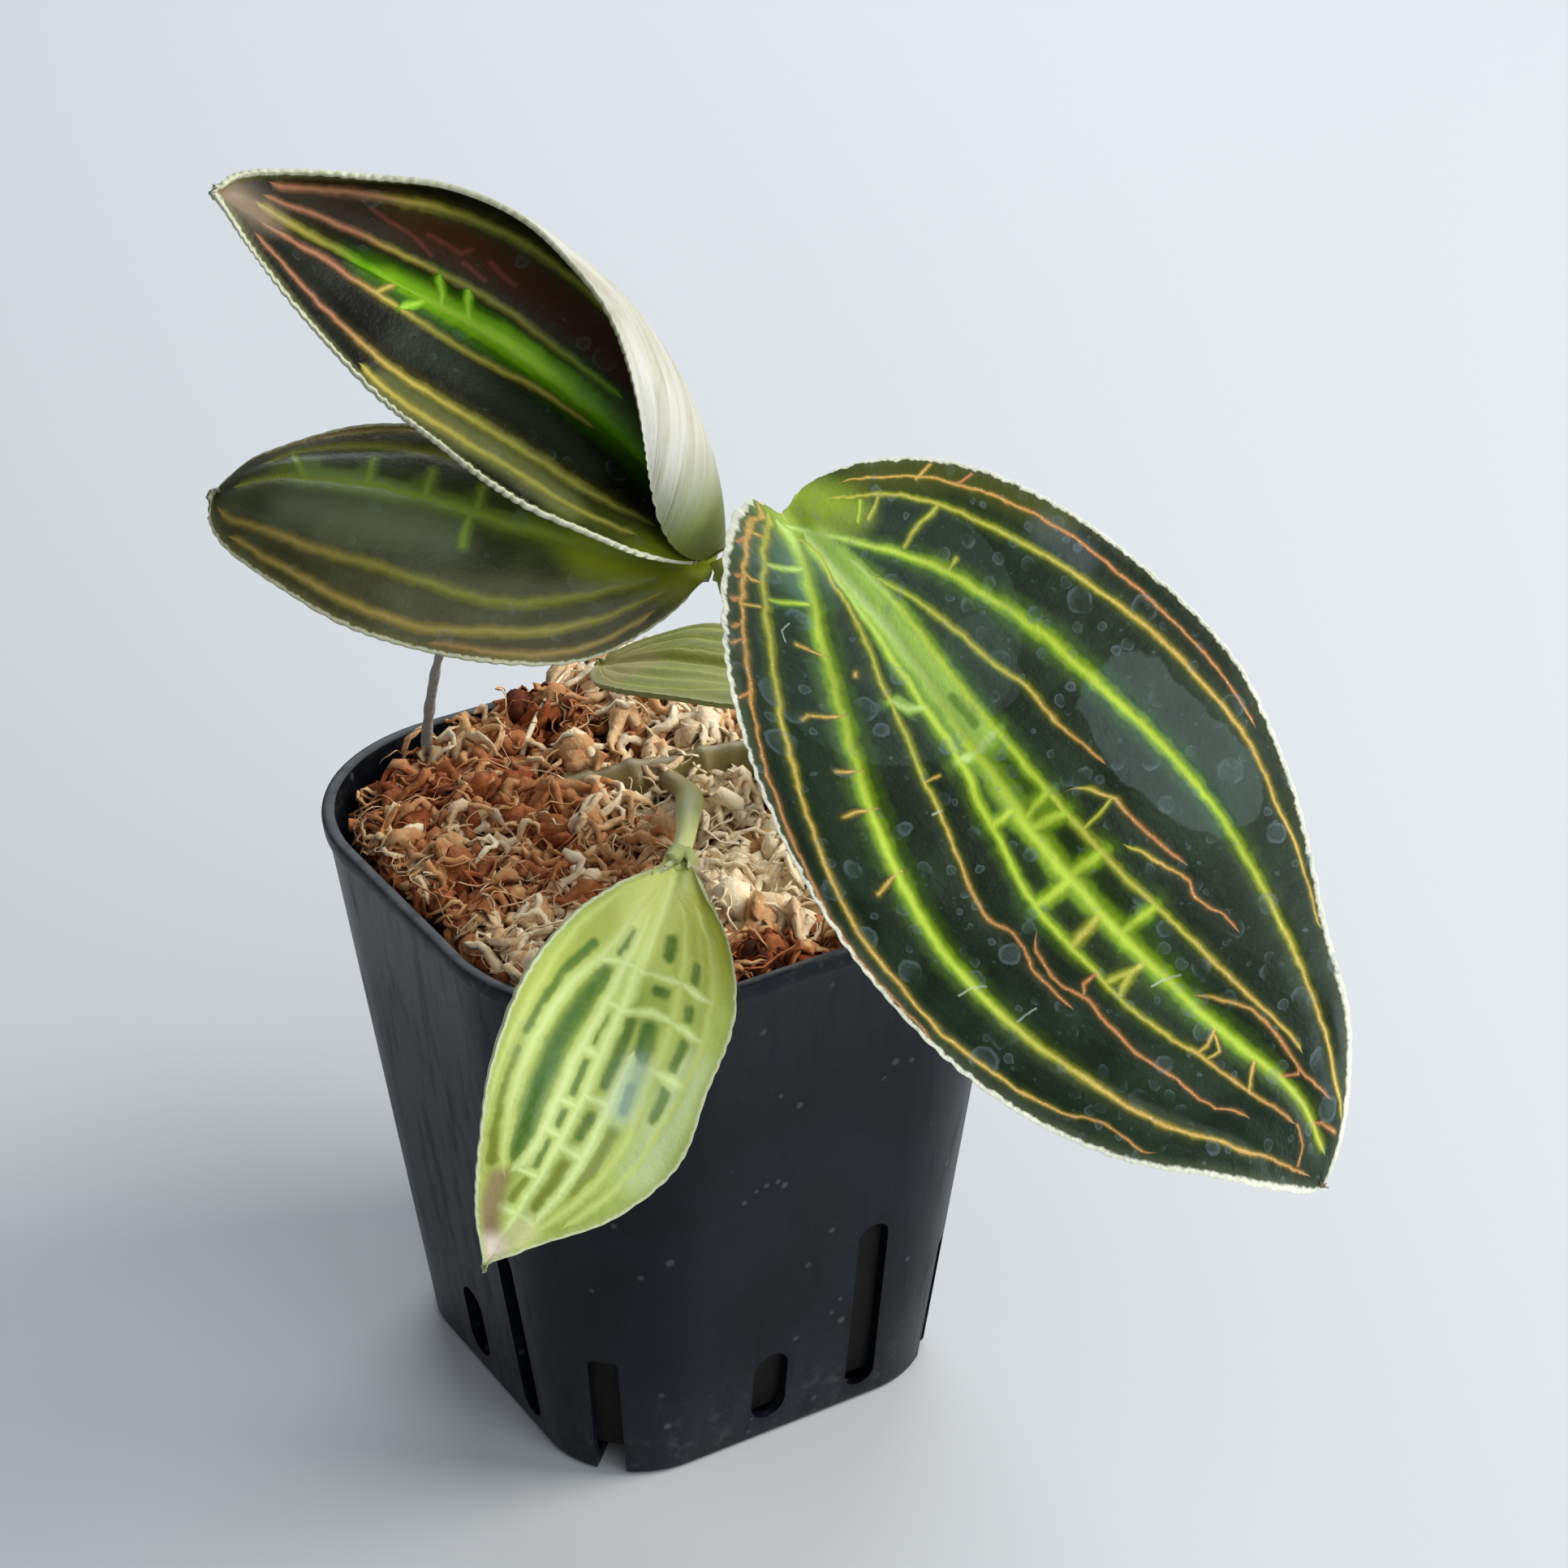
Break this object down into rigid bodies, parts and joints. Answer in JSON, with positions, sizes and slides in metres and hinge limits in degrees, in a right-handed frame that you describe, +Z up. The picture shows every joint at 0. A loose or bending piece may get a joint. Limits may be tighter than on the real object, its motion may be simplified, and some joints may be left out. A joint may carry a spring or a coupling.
{
  "type": "potted jewel orchid",
  "caption": "Small foliage orchid with dark velvety leaves and bright parallel veins, creeping over fibrous medium in a square slit nursery pot.",
  "frame": {"origin": "centre of the pot's flat underside, on the surface it stands on", "axes": "+Z up; the pot's sides lie along X and Y, and the large front leaf reaches out towards +X"},
  "size_m": [0.1287, 0.0864, 0.1534],
  "materials": {
    "pot_plastic": "satin black moulded plastic",
    "medium": "dry curled moss and coir fibre",
    "stem_green": "fleshy satin stem",
    "dry_stalk": "dry papery stalk",
    "leaf_dark": "satin near-black green with bright veins",
    "leaf_olive": "satin olive black with gold veins",
    "leaf_pale": "satin pale netted yellow-green",
    "leaf_yellow": "satin old yellow-green"
  },
  "bodies": {
    "root": {"pot": "pot_plastic", "growing_medium": "medium", "shoot_and_roots": "stem_green", "dry_stalk": "dry_stalk", "leaf_front_large": "leaf_dark", "leaf_upper_folded": "leaf_dark", "leaf_left": "leaf_olive", "leaf_low_pale": "leaf_pale", "leaf_back_pale": "leaf_yellow"}
  },
  "joints": []
}
